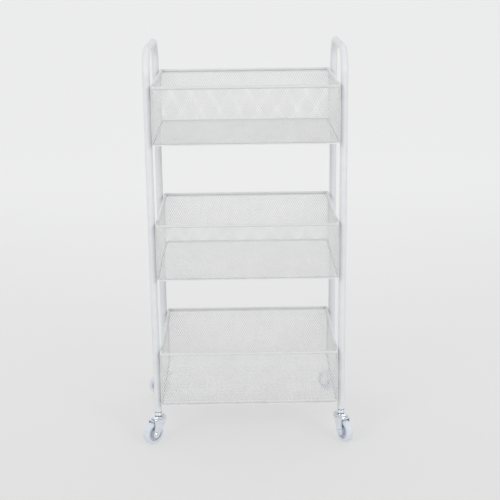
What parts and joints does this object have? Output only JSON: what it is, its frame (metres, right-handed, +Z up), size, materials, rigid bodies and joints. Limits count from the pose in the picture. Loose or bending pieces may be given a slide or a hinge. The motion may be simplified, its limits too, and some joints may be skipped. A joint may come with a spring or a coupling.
{
  "type": "rolling utility cart",
  "caption": "Rolling utility cart: stacked wire-rimmed mesh baskets held between inverted-U tube side frames, standing on swivel casters.",
  "frame": {"origin": "on the floor, midway between the four legs", "axes": "+X to the right, +Y to the back, +Z up; the front is the long side without handles that faces -Y"},
  "size_m": [0.4779, 0.3436, 0.882],
  "materials": {
    "frame_paint": "satin white powder coat",
    "mesh_paint": "satin white powder coat on expanded mesh",
    "plated": "bright bluish zinc plating",
    "socket_plastic": "moulded",
    "wheel_plastic": "moulded",
    "tyre_rubber": "smooth pale thermoplastic rubber"
  },
  "bodies": {
    "frame": {"left_handle_tube": "frame_paint", "right_handle_tube": "frame_paint", "front_left_leg_tube": "frame_paint", "front_right_leg_tube": "frame_paint", "rear_left_leg_tube": "frame_paint", "rear_right_leg_tube": "frame_paint", "rivet_nuts": "plated", "stem_sockets": "socket_plastic", "bottom_basket_rim": "frame_paint", "bottom_basket_base_wire": "frame_paint", "bottom_basket_walls": "mesh_paint", "bottom_basket_floor": "mesh_paint", "bottom_basket_plates": "frame_paint", "bottom_basket_screws": "frame_paint", "middle_basket_rim": "frame_paint", "middle_basket_base_wire": "frame_paint", "middle_basket_walls": "mesh_paint", "middle_basket_floor": "mesh_paint", "middle_basket_plates": "frame_paint", "middle_basket_screws": "frame_paint", "top_basket_rim": "frame_paint", "top_basket_base_wire": "frame_paint", "top_basket_walls": "mesh_paint", "top_basket_floor": "mesh_paint", "top_basket_plates": "frame_paint", "top_basket_screws": "frame_paint", "caster_front_left_stem": "plated", "caster_front_left_race": "plated", "caster_front_right_stem": "plated", "caster_front_right_race": "plated", "caster_rear_left_stem": "plated", "caster_rear_left_race": "plated", "caster_rear_right_stem": "plated", "caster_rear_right_race": "plated"},
    "swivel_front_left": {"caster_front_left_fork": "plated", "caster_front_left_balls": "plated", "caster_front_left_axle": "plated"},
    "wheel_front_left": {"caster_front_left_wheel": "wheel_plastic", "caster_front_left_tyre": "tyre_rubber"},
    "swivel_front_right": {"caster_front_right_fork": "plated", "caster_front_right_balls": "plated", "caster_front_right_axle": "plated"},
    "wheel_front_right": {"caster_front_right_wheel": "wheel_plastic", "caster_front_right_tyre": "tyre_rubber"},
    "swivel_rear_left": {"caster_rear_left_fork": "plated", "caster_rear_left_balls": "plated", "caster_rear_left_axle": "plated"},
    "wheel_rear_left": {"caster_rear_left_wheel": "wheel_plastic", "caster_rear_left_tyre": "tyre_rubber"},
    "swivel_rear_right": {"caster_rear_right_fork": "plated", "caster_rear_right_balls": "plated", "caster_rear_right_axle": "plated"},
    "wheel_rear_right": {"caster_rear_right_wheel": "wheel_plastic", "caster_rear_right_tyre": "tyre_rubber"}
  },
  "joints": [
    {"name": "front_left_swivel", "type": "hinge", "parent": "frame", "child": "swivel_front_left", "pos_m": [-0.206, -0.135, 0.0555], "axis": [0, 0, 1], "continuous": true},
    {"name": "front_left_wheel_spin", "type": "hinge", "parent": "swivel_front_left", "child": "wheel_front_left", "pos_m": [-0.21751, -0.14611, 0.025], "axis": [0.6947, -0.7193, 0], "continuous": true},
    {"name": "front_right_swivel", "type": "hinge", "parent": "frame", "child": "swivel_front_right", "pos_m": [0.206, -0.135, 0.0555], "axis": [0, 0, 1], "continuous": true},
    {"name": "front_right_wheel_spin", "type": "hinge", "parent": "swivel_front_right", "child": "wheel_front_right", "pos_m": [0.21351, -0.14913, 0.025], "axis": [0.8829, 0.4695, 0], "continuous": true},
    {"name": "rear_left_swivel", "type": "hinge", "parent": "frame", "child": "swivel_rear_left", "pos_m": [-0.206, 0.135, 0.0555], "axis": [0, 0, 1], "continuous": true},
    {"name": "rear_left_wheel_spin", "type": "hinge", "parent": "swivel_rear_left", "child": "wheel_rear_left", "pos_m": [-0.222, 0.135, 0.025], "axis": [0, -1, 0], "continuous": true},
    {"name": "rear_right_swivel", "type": "hinge", "parent": "frame", "child": "swivel_rear_right", "pos_m": [0.206, 0.135, 0.0555], "axis": [0, 0, 1], "continuous": true},
    {"name": "rear_right_wheel_spin", "type": "hinge", "parent": "swivel_rear_right", "child": "wheel_rear_right", "pos_m": [0.19572, 0.14726, 0.025], "axis": [-0.766, -0.6428, 0], "continuous": true}
  ]
}
